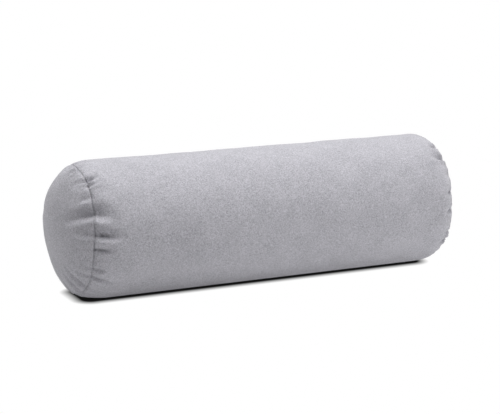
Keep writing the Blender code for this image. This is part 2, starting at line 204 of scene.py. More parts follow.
def makeLight():
    world = bpy.data.worlds.new("studio")
    bpy.context.scene.world = world
    world.use_nodes = True
    g = Graph(world.node_tree)
    back = world.node_tree.nodes["Background"]
    back.inputs["Color"].default_value = (1.0, 1.0, 1.0, 1.0)
    way = g.node("ShaderNodeTexCoord", {}, {})["Generated"]
    towards = Vector(light["dimFrom"]).normalized()
    facing = g.node("ShaderNodeVectorMath", {"operation": "DOT_PRODUCT"}, {0: way, 1: towards})["Value"]
    dimmed = facing.maths("MAXIMUM", 0.0) ** light["dimSpread"] * light["dim"]
    g.feed(back.inputs["Strength"], (1.0 - dimmed) * light["sky"])
    data = bpy.data.lights.new("top", "AREA")
    data.shape = "RECTANGLE"
    data.size, data.size_y = 2 * light["topSize"], light["topSize"]
    data.energy = light["topPower"]
    lamp = bpy.data.objects.new("top", data)
    bpy.context.scene.collection.objects.link(lamp)
    lamp.location = (0, -light["topForward"], light["topHeight"])
    lamp.rotation_euler = (-math.atan2(light["topForward"], light["topHeight"]), 0, 0)
    bpy.context.scene.view_settings.view_transform = "Standard"


floorLook = {
    "size": 12.0,
    "bounce": 0.62,        # how much light the floor sends back up
    "bounceDrop": 0.0005,  # it lies this far under the floor that is seen
    "glow": 0.26,          # and how much it gives off itself
    "glowFrom": -0.2,      # from here along the bolster it gives off more
    "glowRise": 1.35,      # for each metre
    # a painted shadow on the floor that is seen: where it lies along the bolster, its half size, its
    # rounding and its fade
    "paintedShadowAt": -0.0105,
    "paintedShadowHalf": (0.2665, 0.022),
    "paintedShadowRound": 0.014,
    "paintedShadowFade": 0.018,
    # the painted shadow's tone
    "black": 0.006,
}


def makePlane(name, height, look):
    bm = bmesh.new()
    bmesh.ops.create_grid(bm, x_segments=1, y_segments=1, size=floorLook["size"])
    bmesh.ops.translate(bm, verts=bm.verts, vec=(0, 0, height))
    mesh = bpy.data.meshes.new(name)
    bm.to_mesh(mesh)
    bm.free()
    mesh.materials.append(look)
    plane = bpy.data.objects.new(name, mesh)
    bpy.context.scene.collection.objects.link(plane)
    return plane


def makeFloor():
    # the floor that is seen: plain white, with a painted black shadow round where the bolster rests on it
    s = Surface("floor_seen", {"Roughness": 1.0, "Specular IOR Level": 0.0, "Emission Strength": 1.0})
    s.end("Base Color", grey(0.0))
    x, y, z = s.split(s.place())
    # painted shadow: black round the bolster's footprint, fading to white past it
    halfX, halfY = floorLook["paintedShadowHalf"]
    acrossX = ((x - floorLook["paintedShadowAt"]).maths("ABSOLUTE") - halfX).maths("MAXIMUM", 0.0)
    acrossY = (y.maths("ABSOLUTE") - halfY).maths("MAXIMUM", 0.0)
    past = (acrossX ** 2.0 + acrossY ** 2.0) ** 0.5 - floorLook["paintedShadowRound"]
    white = (past / floorLook["paintedShadowFade"]).clamped()
    s.end("Emission Color", s.blendColour(white, grey(floorLook["black"]), grey(1.0)))
    seen = makePlane("floorSeen", 0.0, s.material)
    seen.visible_diffuse = seen.visible_glossy = seen.visible_shadow = False
    # the floor that sends light back up, just under it
    fixed = {"Roughness": 1.0, "Specular IOR Level": 0.0, "Emission Strength": floorLook["glow"]}
    b = Surface("floor_bounce", fixed)
    b.end("Base Color", grey(floorLook["bounce"]))
    x, y, z = b.split(b.place())
    glow = ((x - floorLook["glowFrom"]) * floorLook["glowRise"]).clamped() + 1.0
    grown = b.node("ShaderNodeCombineColor", {}, {"Red": glow, "Green": glow, "Blue": glow})
    b.end("Emission Color", grown["Color"])
    under = makePlane("floorBounce", -floorLook["bounceDrop"], b.material)
    under.visible_camera = False


def makeCard():
    # takes light away from the near end; it isn't seen
    low, high = cadBox
    wide, tall = light["cardSize"]
    away = Vector((light["dimFrom"][0], light["dimFrom"][1], 0)).normalized()
    s = Surface("card_black", {"Roughness": 1.0, "Specular IOR Level": 0.0})
    s.end("Base Color", grey(0.01))
    bm = bmesh.new()
    bmesh.ops.create_grid(bm, x_segments=1, y_segments=1, size=0.5)
    turn = away.to_track_quat("Z", "Y").to_matrix().to_4x4()
    middle = Vector((low[0], 0, tall / 2 + light["cardLift"])) + away * light["cardAway"]
    place = Matrix.Translation(middle) @ turn @ Matrix.Diagonal((wide, tall, 1, 1))
    bmesh.ops.transform(bm, matrix=place, verts=bm.verts)
    mesh = bpy.data.meshes.new("card")
    bm.to_mesh(mesh)
    bm.free()
    mesh.materials.append(s.material)
    card = bpy.data.objects.new("card", mesh)
    bpy.context.scene.collection.objects.link(card)
    card.visible_camera = False


def finished(name, mesh, rides, look, replaced):
    # a piece in its place: it rides on a body, takes a finish and stands for its plain parts
    mesh.materials.append(look)
    piece = bpy.data.objects.new(name, mesh)
    bpy.context.scene.collection.objects.link(piece)
    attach(piece, rides)
    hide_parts(*replaced)
    return piece


def meshFrom(name, bm, smooth=40.0):
    mesh = bpy.data.meshes.new(name)
    bm.to_mesh(mesh)
    bm.free()
    mesh.shade_smooth()
    mesh.set_sharp_from_angle(angle=math.radians(smooth))
    return mesh


coverLow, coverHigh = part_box("cover_body_panel")
endLow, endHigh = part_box("cover_end_panel_left")

body = {
    "half": coverHigh.x,                   # from the middle to each end seam
    "width": coverHigh.y - coverLow.y + 0.0002,   # a faceted solid is a little narrower
    "height": coverHigh.z,
    "bellyDrop": 0.001,                    # the widest level is this far below the middle
    "flat": 0.048,                         # what touches the floor
    "fullness": 1.95,                      # of the lower half's curve: 2 is an ellipse
    "shoulder": {-1: 0.041, 1: 0.031},     # where the body draws in towards each end seam
    "shoulderPower": 2.25,
    "seamAcross": 0.0895,                  # the seam's half width and half height
    "seamUp": 0.0943,
    "seamHeight": (endHigh.z + endLow.z) / 2,
    "seamTilt": {-1: 0.0045, 1: -0.0005},  # how far the top of each seam leans along the bolster
    "crown": {-1: 0.042, 1: 0.027},        # how far each end bulges past its seam
    "crownPower": {-1: 0.80, 1: 0.93},     # the lower, the steeper it leaves the seam
    "tipLift": {-1: 0.008, 1: 0.0},        # how far the middle of each end lies above its seam's
    "clear": 0.0003,                       # above the floor
    "zipAngle": 24.0,                      # degrees above the middle of the back
    "zipRelief": 7.0,                      # degrees round it where the inner layers lie lower
    "zipSmooth": 11.0,                     # and where the cloth is free of lumps
}
belly = body["height"] / 2 - body["bellyDrop"]
depth = belly / (1 - (body["flat"] / body["width"]) ** body["fullness"]) ** (1 / body["fullness"])

# The zip's own axes, read from the hinge of its pull: along the chain, out of the cloth, up the cloth.
pullJoint = next(j for j in frame["record"]["behaviour"]["joints"] if j["child"] == "pull_tab")
zipUp = -Vector(pullJoint["axis"]).normalized()
zipOut = Vector((0, zipUp.z, -zipUp.y))
zipAngle = math.radians(body["zipAngle"])
zipHeight = belly + (body["height"] - belly) * math.sin(zipAngle)
zipMiddle = Vector((0, body["width"] / 2 * math.cos(zipAngle), zipHeight))


def zipPoint(x, up, out):
    # the cloth falls away on both sides of the zip's line
    return zipMiddle + Vector((x, 0, 0)) + zipUp * up + zipOut * (out - up * up / body["width"])


def smoothStep(t):
    t = min(1.0, max(0.0, t))
    return t * t * (3 - 2 * t)


def angleOff(angle, degrees):
    return (math.degrees(angle) - degrees + 180.0) % 360.0 - 180.0


def bumpAt(angle, centre, width):
    # a soft hump round an angle, in degrees
    return math.exp(-((angleOff(angle, centre) / width) ** 2))


def sectionPoint(angle, inset):
    # the resting section: round above, pressed flat where it meets the floor
    c, s = math.cos(angle), math.sin(angle)
    power = body["fullness"] if s < 0 else 2.0
    reach = (abs(c) ** power + abs(s) ** power) ** (-1 / power)
    rise = (depth if s < 0 else body["height"] - belly) - inset
    return Vector((0, (body["width"] / 2 - inset) * reach * c, max(belly + rise * reach * s, inset)))


def ringPoint(angle, share, inset):
    y = (body["seamAcross"] - inset) * share * math.cos(angle)
    return Vector((0, y, body["seamHeight"] + (body["seamUp"] - inset) * share * math.sin(angle)))


stray = {
    "slow": 0.0006,        # three waves round the seam
    "quick": 0.0005,       # five waves
    # and on the near seam: how far, at which angle and how widely
    "near": ((0.0016, 190.0, 40.0), (0.0042, 96.0, 20.0)),
}


def seamDrift(side, angle):
    # a sewn seam isn't a perfect circle: how far it strays outwards along the bolster
    drift = stray["slow"] * math.sin(3 * angle + 1.0 + side)
    drift += stray["quick"] * math.sin(5 * angle + 2.0 * side)
    if side < 0:
        drift += sum(far * bumpAt(angle, at, width) for far, at, width in stray["near"])
    return side * body["seamTilt"][side] * math.sin(angle) + drift


spun = 0.1   # the blank is spun at this radius, and its ends run this far past the seams


def stuffedPoint(x, angle, layer):
    # from a place on the blank to a place on the plain stuffed shape
    side = -1 if x < 0 else 1
    drift = seamDrift(side, angle)
    if abs(x) > body["half"]:
        r = 1 - min(1.0, (abs(x) - body["half"]) / spun)
        point = ringPoint(angle, r, layer["seamInset"])
        rise = (body["crown"][side] - layer["crownInset"]) * (1 - r * r) ** body["crownPower"][side]
        point.x = side * (body["half"] + drift * r * r + rise)
        point.z += body["tipLift"][side] * (1 - r * r)
        return point
    straight = body["half"] - body["shoulder"][side]
    share = max(0.0, (abs(x) - straight) / body["shoulder"][side]) ** body["shoulderPower"]
    inset = layer["inset"] + layer["relief"] * bumpAt(angle, body["zipAngle"], body["zipRelief"])
    point = sectionPoint(angle, inset).lerp(ringPoint(angle, 1.0, layer["seamInset"]), share)
    point.x = x + drift * side * share
    return point


# Puckers where the cloth is gathered into an end seam. Angles are degrees round the section, from
# the back over the top; width is above and below the fold's bottom; body and end are depth and
# reach in metres on each side of the seam; lean is degrees of drift along the reach.
def pucker(at, width, onBody, onEnd, lean=0.0):
    return {"at": at, "width": width, "body": onBody, "end": onEnd, "lean": lean}


coverPuckers = {
    -1: [
        pucker(101, (3.0, 2.0), (0.0020, 0.012), (0.0034, 0.016)),
        pucker(123, (3.4, 1.8), (0.0094, 0.015), (0.0016, 0.014), -3.0),
        pucker(129, (2.6, 2.0), (0.0024, 0.024), (0.0004, 0.010), -5.0),
        pucker(141, (5.0, 3.6), (0.0010, 0.012), (0.0036, 0.023)),
        pucker(156, (8.0, 4.6), (0.0088, 0.028), (0.0086, 0.040), 3.0),
        pucker(174.8, (8.0, 2.5), (0.0090, 0.041), (0.0034, 0.030), 1.0),
        pucker(186.6, (3.4, 1.9), (0.0060, 0.022), (0.0008, 0.010)),
        pucker(193, (9.0, 9.0), (0.0006, 0.012), (0.0026, 0.038)),
        pucker(197, (2.4, 1.5), (0.0018, 0.010), (0.0004, 0.008)),
        pucker(205.2, (2.8, 1.5), (0.0044, 0.015), (0.0010, 0.010)),
        pucker(214, (3.2, 1.8), (0.0048, 0.030), (0.0018, 0.020), 5.0),
        pucker(230, (3.4, 3.0), (0.0014, 0.020), (0.0038, 0.038)),
        pucker(243, (3.0, 3.0), (0.0014, 0.016), (0.0034, 0.036)),
    ],
    1: [
        pucker(118, (3.6, 1.9), (0.0068, 0.017), (0.0008, 0.012)),
        pucker(133, (4.2, 2.2), (0.0074, 0.024), (0.0010, 0.012), -2.0),
        pucker(150, (4.5, 3.0), (0.0016, 0.018), (0.0020, 0.014)),
        pucker(167, (3.4, 2.0), (0.0066, 0.012), (0.0010, 0.012)),
        pucker(184, (3.8, 2.0), (0.0076, 0.015), (0.0010, 0.012)),
        pucker(207, (3.0, 1.8), (0.0062, 0.011), (0.0010, 0.010)),
        pucker(216, (3.4, 2.0), (0.0070, 0.015), (0.0010, 0.010)),
        pucker(236, (3.4, 2.4), (0.0024, 0.020), (0.0024, 0.022)),
    ],
}


chance = {
    "between": (262.0, 450.0),     # the angles that it is left to
    "deepest": 0.0058,
    "wide": (2.0, 5.0),
    "bodyShare": (0.3, 1.0),       # of the deepest
    "endShare": (0.2, 0.9),
    "reach": (0.012, 0.034),
    "skew": (0.5, 1.0),
    "lean": (-3.0, 3.0),
    "step": (9.0, 21.0),
}


def gather():
    # puckers left to chance, along the part of a seam that is turned away
    made = []
    at, stop = chance["between"]
    while at < stop:
        wide = random.uniform(*chance["wide"])
        onBody = (random.uniform(*chance["bodyShare"]) * chance["deepest"], random.uniform(*chance["reach"]))
        onEnd = (random.uniform(*chance["endShare"]) * chance["deepest"], random.uniform(*chance["reach"]))
        width = (wide, wide * random.uniform(*chance["skew"]))
        made.append(pucker(at % 360.0, width, onBody, onEnd, random.uniform(*chance["lean"])))
        at += random.uniform(*chance["step"])
    return made


foldForm = {
    "longest": 1.7,        # a fold is gone past this many times its reach
    "widest": 24.0,        # and past this many degrees on each side
    "spread": (0.85, 0.4),    # its width at the seam, and what it gains over its reach
    "fade": 0.75,
    "atSeam": 0.75,        # its share of the depth right at the seam
    "grown": 0.004,        # and where it has it all
    "valley": (1.5, 1.75),
    "ridge": 0.32,         # the height of the ridges beside it, as a share of its depth
    "ridgeAt": 1.8,
    "ridgeWide": 0.9,
    "blend": 0.005,        # both sides of a seam agree within this distance of it
    "farthest": 0.065,     # no fold is looked for past this
}


def foldDepth(fold, onEnd, away, angle):
    deep, reach = fold["end"] if onEnd else fold["body"]
    along = away / reach
    off = angleOff(angle, fold["at"] + fold["lean"] * along)
    if along > foldForm["longest"] or abs(off) > foldForm["widest"]:
        return 0.0
    above, below = fold["width"]
    front = math.cos(angle) < 0
    atSeam, gain = foldForm["spread"]
    wide = (above if (off < 0) == front else below) * (atSeam + gain * along)
    grown = foldForm["atSeam"] + (1 - foldForm["atSeam"]) * min(1.0, away / foldForm["grown"])
    fade = math.exp(-((along / foldForm["fade"]) ** 2)) * grown
    steep, power = foldForm["valley"]
    valley = math.exp(-steep * (abs(off) / wide) ** power)
    ridge = math.exp(-(((abs(off) - foldForm["ridgeAt"] * wide) / (foldForm["ridgeWide"] * wide)) ** 2))
    return deep * fade * (foldForm["ridge"] * ridge - valley)


def puckerDepth(folds, onEnd, away, angle):
    # how far the cloth stands out of, or below zero sinks into, the plain shape
    own = sum(foldDepth(fold, onEnd, away, angle) for fold in folds)
    if away > foldForm["blend"]:
        return own
    both = sum(foldDepth(fold, way, 0.0, angle) for fold in folds for way in (True, False)) / 2
    return both + (own - both) * smoothStep(away / foldForm["blend"])


def raw(side, share, onEnd):
    # the spun blank: x past the seam says how far towards the tip a row is
    if onEnd:
        return side * (body["half"] + spun * share), spun * (1 - share)
    return side * share, spun


def blankStations(layer):
    rows, reach = layer["endRows"], layer["fineReach"]
    ends = [(i / rows) ** layer["endPower"] for i in range(1, rows + 1)]
    fine = [reach * (i / layer["fineRows"]) ** 1.3 for i in range(layer["fineRows"] + 1)]
    edge = body["half"] - reach
    coarse = [edge * (2 * i / layer["coarseRows"] - 1) for i in range(1, layer["coarseRows"])]
    left = [raw(-1, t, True) for t in reversed(ends)] + [raw(-1, body["half"] - d, False) for d in fine]
    right = [raw(1, body["half"] - d, False) for d in reversed(fine)] + [raw(1, t, True) for t in ends]
    return left + [raw(1, x, False) for x in coarse] + right


def spinBlank(stations, columns):
    bm = bmesh.new()
    verts = [bm.verts.new((x, 0, r)) for x, r in stations]
    edges = [bm.edges.new(pair) for pair in zip(verts, verts[1:])]
    bmesh.ops.spin(
        bm, geom=verts + edges, cent=(0, 0, 0), axis=(1, 0, 0), dvec=(0, 0, 0),
        angle=math.tau, steps=columns, use_merge=True,
    )
    bmesh.ops.remove_doubles(bm, verts=bm.verts, dist=1e-6)
    bmesh.ops.recalc_face_normals(bm, faces=bm.faces)
    return bm


lump = {
    "height": 0.0013,
    "coarse": 14.0,
    "fine": 34.0,
    "fineShare": 0.4,
    "rise": 0.03,          # above the floor, where there are no lumps
}


def softness(point, angle):
    # slow unevenness of the stuffing, none where it rests on the floor or holds the zip flat
    lumps = noise.noise(point * lump["coarse"]) * lump["height"]
    lumps += noise.noise(point * lump["fine"]) * lump["height"] * lump["fineShare"]
    flatZip = 1 - math.exp(-((angleOff(angle, body["zipAngle"]) / body["zipSmooth"]) ** 4))
    return lumps * smoothStep(point.z / lump["rise"]) * flatZip


def addClothMap(bm, records):
    layer = bm.loops.layers.uv.new("cloth")
    for face in bm.faces:
        turned = [records[loop.vert][1] for loop in face.loops]
        wrap = max(turned) - min(turned) > math.pi
        for loop in face.loops:
            x, angle, onEnd, away = records[loop.vert]
            if onEnd:
                r = max(0.0, spun - away)
                loop[layer].uv = (r * math.cos(angle), r * math.sin(angle))
            else:
                loop[layer].uv = (x, spun * (angle + (math.tau if wrap and angle < math.pi else 0.0)))


def shapeBag(name, layer, folds):
    # one stuffed bag, still in one piece; returns its mesh and where each point is on the cloth
    bm = spinBlank(blankStations(layer), layer["columns"])
    panel = bm.faces.layers.int.new("panel")
    for face in bm.faces:
        x = face.calc_center_median().x
        face[panel] = 0 if abs(x) < body["half"] else (-1 if x < 0 else 1)
    records = {}
    for v in bm.verts:
        past = abs(v.co.x) - body["half"]
        angle = math.atan2(v.co.z, v.co.y) % math.tau
        onEnd = past > 1e-6
        records[v] = (v.co.x, angle, onEnd, abs(past) if abs(past) > 1e-6 else 0.0)
        v.co = stuffedPoint(v.co.x, angle, layer)
    bm.normal_update()
    moves = []
    for v in bm.verts:
        x, angle, onEnd, away = records[v]
        lift = 0.0
        if away < foldForm["farthest"]:
            lift = puckerDepth(folds[-1 if x < 0 else 1], onEnd, away, angle)
        moves.append(v.normal * (lift + softness(v.co, angle)))
    for v, move in zip(bm.verts, moves):
        v.co += move
        v.co.z = max(v.co.z, layer["inset"] + body["clear"])
    addClothMap(bm, records)
    bm.verts.index_update()
    listed = [records[v] for v in bm.verts]
    mesh = bpy.data.meshes.new(name)
    bm.to_mesh(mesh)
    bm.free()
    return mesh, listed


relax = {
    "frames": 14,
    "steps": 6,
    "mass": 0.01,          # kilograms at each point
    "stretch": 15.0,
    "shear": 5.0,
    "bend": 0.3,
    "pressure": 4.0,
    "slack": 0.022,        # how much longer the cloth is than the stuffed shape, as a share
    "slackReach": 0.020,   # the slack grows from none at the seam over about this distance
    "endHeld": (0.085, 0.100),    # distances from a seam between which the cloth comes to be held
    "bodyHeld": (0.051, 0.085),
    "resting": 0.004,      # cloth this near the floor is held too
    "most": 0.0045,        # the furthest that a point may move
}


def relaxCover(mesh, records):
    # there is more cloth than the seam it is gathered into, so it buckles as it settles
    piece = bpy.data.objects.new("settling", mesh)
    scene = bpy.context.scene
    scene.collection.objects.link(piece)
    pins = piece.vertex_groups.new(name="pins")
    slack = piece.vertex_groups.new(name="slack")
    start = [v.co.copy() for v in mesh.vertices]
    for i, (x, angle, onEnd, away) in enumerate(records):
        free, fast = relax["endHeld"] if onEnd else relax["bodyHeld"]
        held = smoothStep((away - free) / (fast - free))
        if away == 0.0 or start[i].z < relax["resting"]:
            held = 1.0
        pins.add([i], held, "REPLACE")
        slack.add([i], 1 - math.exp(-away / relax["slackReach"]), "REPLACE")
    settle = piece.modifiers.new("settle", "CLOTH")
    cloth = settle.settings
    cloth.quality = relax["steps"]
    cloth.mass = relax["mass"]
    cloth.tension_stiffness = cloth.compression_stiffness = relax["stretch"]
    cloth.shear_stiffness = relax["shear"]
    cloth.bending_stiffness = relax["bend"]
    cloth.use_pressure = True
    cloth.uniform_pressure_force = relax["pressure"]
    cloth.vertex_group_mass = "pins"
    cloth.pin_stiffness = 1.0
    cloth.vertex_group_shrink = "slack"
    cloth.shrink_min = -relax["slack"]
    cloth.shrink_max = 0.0
    cloth.effector_weights.gravity = 0.0
    settle.collision_settings.use_collision = False
    settle.point_cache.frame_start, settle.point_cache.frame_end = 1, relax["frames"]
    for f in range(1, relax["frames"] + 1):
        scene.frame_set(f)
    settled = piece.evaluated_get(bpy.context.evaluated_depsgraph_get()).data
    moved = [v.co.copy() for v in settled.vertices]
    piece.modifiers.remove(settle)
    scene.frame_set(1)
    bpy.data.objects.remove(piece)
    far = 0.0
    for v, a, b in zip(mesh.vertices, start, moved):
        step = b - a
        far = max(far, step.length)
        if step.length > relax["most"]:
            step *= relax["most"] / step.length
        v.co = a + step
    print("cloth settled, furthest move", round(far * 1000, 2), "mm")


def cutPanel(whole, which):
    # one panel of the bag; its edges are the seams
    bm = bmesh.new()
    bm.from_mesh(whole)
    panel = bm.faces.layers.int["panel"]
    bmesh.ops.delete(bm, geom=[f for f in bm.faces if f[panel] != which], context="FACES")
    return bm


def turnIn(bm, edges, steps):
    # a turned edge: each step draws one more strip of cloth out of the last
    for step in steps:
        made = bmesh.ops.extrude_edge_only(bm, edges=edges)["geom"]
        verts = {g for g in made if isinstance(g, bmesh.types.BMVert)}
        edges = [g for g in made if isinstance(g, bmesh.types.BMEdge) and set(g.verts) <= verts]
        for v in verts:
            v.co += step(v.co)


hem = {
    "first": 0.0012,       # the first strip of a turned-in allowance
    "slant": 0.0004,       # how far the second leans away from the seam
    "from": 0.9,           # an end seam is past this share of the body's half length
    "pinch": 0.006,        # the crease fades within this distance
}


def hemEnd(bm, side, way, layer):
    # the allowance at an end seam, turned towards the middle of the bag; way is the panel's own side
    start = hem["from"] * body["half"]
    ring = [e for e in bm.edges if e.is_boundary and e.verts[0].co.x * side > start]
    verts = {v for e in ring for v in e.verts}
    for v in verts:
        v.co.x += way * layer["seamGap"]

    def inward(amount, back):
        def step(co):
            middle = Vector((co.x, 0, body["seamHeight"]))
            return (middle - co).normalized() * amount + Vector((way * back, 0, 0))
        return step

    first = hem["first"]
    turnIn(bm, ring, [inward(first, 0.0), inward(layer["allowance"] - first, hem["slant"])])


def pinchSeams(mesh, records, layer):
    # the stitches draw the cloth down into a narrow crease
    for v, (x, angle, onEnd, away) in zip(mesh.vertices, records):
        if away > hem["pinch"]:
            continue
        centre = Vector((v.co.x, 0, body["seamHeight"]))
        v.co -= (v.co - centre).normalized() * layer["crease"] * math.exp(-away / layer["creaseWidth"])
        v.co.z = max(v.co.z, layer["inset"] + body["clear"])


def zipSpace(co):
    # a place in the zip's own axes: along, out, up
    off = co - zipMiddle
    return off.x, off.dot(zipOut), off.dot(zipUp)


zipSlot = {
    "half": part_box("zip_topstitch")[1].x - 0.0038,   # half the slot's length
    "lip": 0.0050,                                   # half its width
    "reach": 0.018,                                  # the cloth that is cut up for it
    "near": 0.02,                                    # how far past the slot a cut still looks for cloth
    "edge": 0.0008,                                  # what still counts as its edge
    "rolls": ((0.00035, 0.0003), (0.0001, 0.0009)),  # inwards and down, strip by strip
}


def nearZip(bm, start, stop, reach):
    faces = []
    for f in bm.faces:
        x, out, up = zipSpace(f.calc_center_median())
        if start < abs(x) < stop and abs(out) < zipSlot["near"] and abs(up) < reach:
            faces.append(f)
    return faces


def cutAcross(bm, faces, point, normal):
    geom = list(dict.fromkeys(g for f in faces for g in (f, *f.edges, *f.verts)))
    bmesh.ops.bisect_plane(bm, geom=geom, dist=1e-6, plane_co=point, plane_no=normal)


def cutSlot(bm):
    # the zip's slot, with its edges rolled in
    half, lip, near, reach = zipSlot["half"], zipSlot["lip"], zipSlot["near"], zipSlot["reach"]
    for up in (-lip, lip):
        cutAcross(bm, nearZip(bm, -1.0, half + near, reach), zipPoint(0, up, 0), zipUp)
    for x in (-half, half):
        cutAcross(bm, nearZip(bm, half - near, half + near, reach), zipPoint(x, 0, 0), Vector((1, 0, 0)))
    bmesh.ops.delete(bm, geom=nearZip(bm, -1.0, half, lip), context="FACES")
    ring = [e for e in bm.edges if e.is_boundary and abs(e.verts[0].co.x) < half + zipSlot["edge"]]

    def roll(sideways, down):
        def step(co):
            x, out, up = zipSpace(co)
            away = Vector((0, 0, 0))
            if abs(abs(up) - lip) < zipSlot["edge"]:
                away -= zipUp * math.copysign(sideways, up)
            if abs(abs(x) - half) < zipSlot["edge"]:
                away.x -= math.copysign(sideways, x)
            return away - zipOut * down
        return step

    turnIn(bm, ring, [roll(*amounts) for amounts in zipSlot["rolls"]])


backSeam = {
    "groove": 0.0009,      # half the width that sinks
    "start": 0.002,        # past the slot
    "stop": 0.001,         # before an end seam
    "overTape": 0.0005,    # how deep it lies over the zip's tapes
    "more": 0.0012,        # and how much deeper further on
    "tapePast": 0.0015,
    "ramp": 0.022,
}


def sinkBackSeam(bm):
    # the body panel's own seam, in line with the zip, between its slot and the end seams
    start, stop = zipSlot["half"], body["half"] - backSeam["stop"]
    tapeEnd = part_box("zip_tape_upper")[1].x + backSeam["tapePast"]
    for up in (-backSeam["groove"], 0.0, backSeam["groove"]):
        cutAcross(bm, nearZip(bm, start, stop, zipSlot["reach"]), zipPoint(0, up, 0), zipUp)
    for v in bm.verts:
        x, out, up = zipSpace(v.co)
        if abs(up) < 1e-5 and abs(out) < zipSlot["near"] and start + backSeam["start"] < abs(x) < stop:
            ramp = smoothStep((abs(x) - tapeEnd) / backSeam["ramp"])
            v.co -= v.normal * (backSeam["overTape"] + backSeam["more"] * ramp)


cover = {
    "name": "cover", "slot": "cover_fabric", "fill": 0.85,
    "inset": 0.0, "seamInset": 0.0, "crownInset": 0.0, "relief": 0.0,
    "columns": 360,
    "endRows": 40,
    "endPower": 1.25,       # above 1, the rows crowd towards the seam
    "fineRows": 30,
    "fineReach": 0.060,
    "coarseRows": 46,
    "crease": 0.0020,
    "creaseWidth": 0.0008,
    "allowance": 0.0048,    # of cloth turned in at a seam
    "seamGap": 0.00012,
    "wall": 0.0010,
}


panelNodes = {"Body": "body_panel", "EndLeft": "end_panel_left", "EndRight": "end_panel_right"}
clothSmooth = 75.0     # degrees: an edge sharper than this stays sharp


def addPanel(layer, part, bm, look):
    # one panel of a bag, with its wall
    name, node = layer["name"] + part, layer["name"] + "_" + panelNodes[part]
    piece = finished(name, meshFrom(name, bm, clothSmooth), "bolster", look, [node])
    wall = piece.modifiers.new("wall", "SOLIDIFY")
    wall.thickness = layer["wall"]
    wall.offset = -1.0


def addPanels(mesh, layer, bm, look):
    # the body panel, which comes cut already, and the two end panels
    for side in (-1, 1):
        hemEnd(bm, side, -side, layer)
    addPanel(layer, "Body", bm, look)
    for side, part in ((-1, "EndLeft"), (1, "EndRight")):
        end = cutPanel(mesh, side)
        hemEnd(end, side, side, layer)
        addPanel(layer, part, end, look)
    bpy.data.meshes.remove(mesh)
    print(layer["name"] + ": body panel and two end panels")


def seamRings(mesh, records):
    # the points of each end seam, in order round the section
    rings = {-1: [], 1: []}
    for v, (x, angle, onEnd, away) in zip(mesh.vertices, records):
        if away == 0.0:
            rings[-1 if x < 0 else 1].append((angle, v.co.copy()))
    return {side: [co for angle, co in sorted(rings[side], key=lambda pair: pair[0])] for side in rings}


def makeCover(cloth, folds):
    mesh, records = shapeBag("coverWhole", cover, folds)
    relaxCover(mesh, records)
    pinchSeams(mesh, records, cover)
    for v in mesh.vertices:
        v.co.z = max(v.co.z, body["clear"])
    rings = seamRings(mesh, records)
    bm = cutPanel(mesh, 0)
    bm.normal_update()
    sinkBackSeam(bm)
    cutSlot(bm)
    addPanels(mesh, cover, bm, cloth)
    return rings


brushedCloth = {
    "light": (0.605, 0.597, 0.642, 1.0),
    "dark": (0.270, 0.266, 0.292, 1.0),
    "thread": 0.0011,      # one diagonal rib of the weave
    "melange": 620.0,
    "mottle": 34.0,
}


def makeBrushedCloth():
    s = Surface("brushed_cloth", {
        "Roughness": 0.95, "Sheen Weight": 0.25, "Sheen Roughness": 0.45, "Specular IOR Level": 0.12,
    })
    u, v, flat = s.split(s.clothPlace())
    place = s.place()
    fuzz = s.noise(place, brushedCloth["melange"], 4.0, 0.75)
    slubs = s.noise(place, brushedCloth["melange"] / 2.2, 2.0, 0.6)
    mottle = s.noise(place, brushedCloth["mottle"], 3.0, 0.55)
    rib = ((u + v) * (math.tau / brushedCloth["thread"]) + slubs * 5.0).maths("SINE")
    tone = fuzz * 3.0 - 1.0 + (slubs - 0.5) * 0.4 + (mottle - 0.5) * 0.35 + rib * 0.10
    s.end("Base Color", s.blendColour(tone.clamped(), brushedCloth["dark"], brushedCloth["light"]))
    s.bump(fuzz * 0.7 + rib * 0.2 + slubs * 0.5, 0.0006, 0.7)
    return s.material


# The inner cushion's bag and its filling follow the cover's folds, further in.
liner = {
    "name": "liner", "slot": "liner_cotton", "fill": 0.8,
    "inset": 0.0036, "seamInset": 0.0112, "crownInset": 0.0064, "relief": 0.0030,
    "columns": 180,
    "endRows": 20,
    "endPower": 1.2,
    "fineRows": 18,
    "fineReach": 0.060,
    "coarseRows": 34,
    "crease": 0.0012,
    "creaseWidth": 0.0012,
    "allowance": 0.0030,
    "seamGap": 0.00012,
    "wall": 0.0004,
}

filling = {
    "fill": 0.8,
    "inset": 0.0056, "seamInset": 0.0176, "crownInset": 0.0098, "relief": 0.0034,
    "columns": 120,
    "endRows": 16,
    "endPower": 1.2,
    "fineRows": 12,
    "fineReach": 0.060,
    "coarseRows": 40,
    "tufts": 0.0009,
    "tuftScale": 130.0,
}


def makeLiner(cloth, folds):
    mesh, records = shapeBag("linerWhole", liner, folds)
    pinchSeams(mesh, records, liner)
    rings = seamRings(mesh, records)
    addPanels(mesh, liner, cutPanel(mesh, 0), cloth)
    return rings


def makeFilling(fibre, folds):
    mesh, records = shapeBag("fillingFibre", filling, folds)
    normals = [v.normal.copy() for v in mesh.vertices]
    for v, normal in zip(mesh.vertices, normals):
        v.co -= normal * filling["tufts"] * abs(noise.noise(v.co * filling["tuftScale"]))
    mesh.shade_smooth()
    piece = finished("fillingFibre", mesh, "bolster", fibre, ["filling"])
    print("filling made")


def outerPoint(x, angle, layer):
    # a place on the lumpy surface of a layer
    point = stuffedPoint(x, angle, layer)
    outward = (point - Vector((point.x, 0, belly))).normalized()
    return point + outward * softness(point, angle)


def makeStitches(name, runs, wide, look, nodes):
    # each stitch is a grain of thread, from one needle hole to the next
    bm = bmesh.new()
    for a, b in runs:
        turn = (b - a).to_track_quat("X", "Z").to_matrix().to_4x4()
        size = Matrix.Diagonal(((b - a).length, wide, wide, 1))
        place = Matrix.Translation((a + b) / 2) @ turn @ size
        bmesh.ops.create_uvsphere(bm, u_segments=6, v_segments=5, radius=0.5, matrix=place)
    print(name, len(runs), "stitches")
    finished(name, meshFrom(name, bm), "bolster", look, nodes)


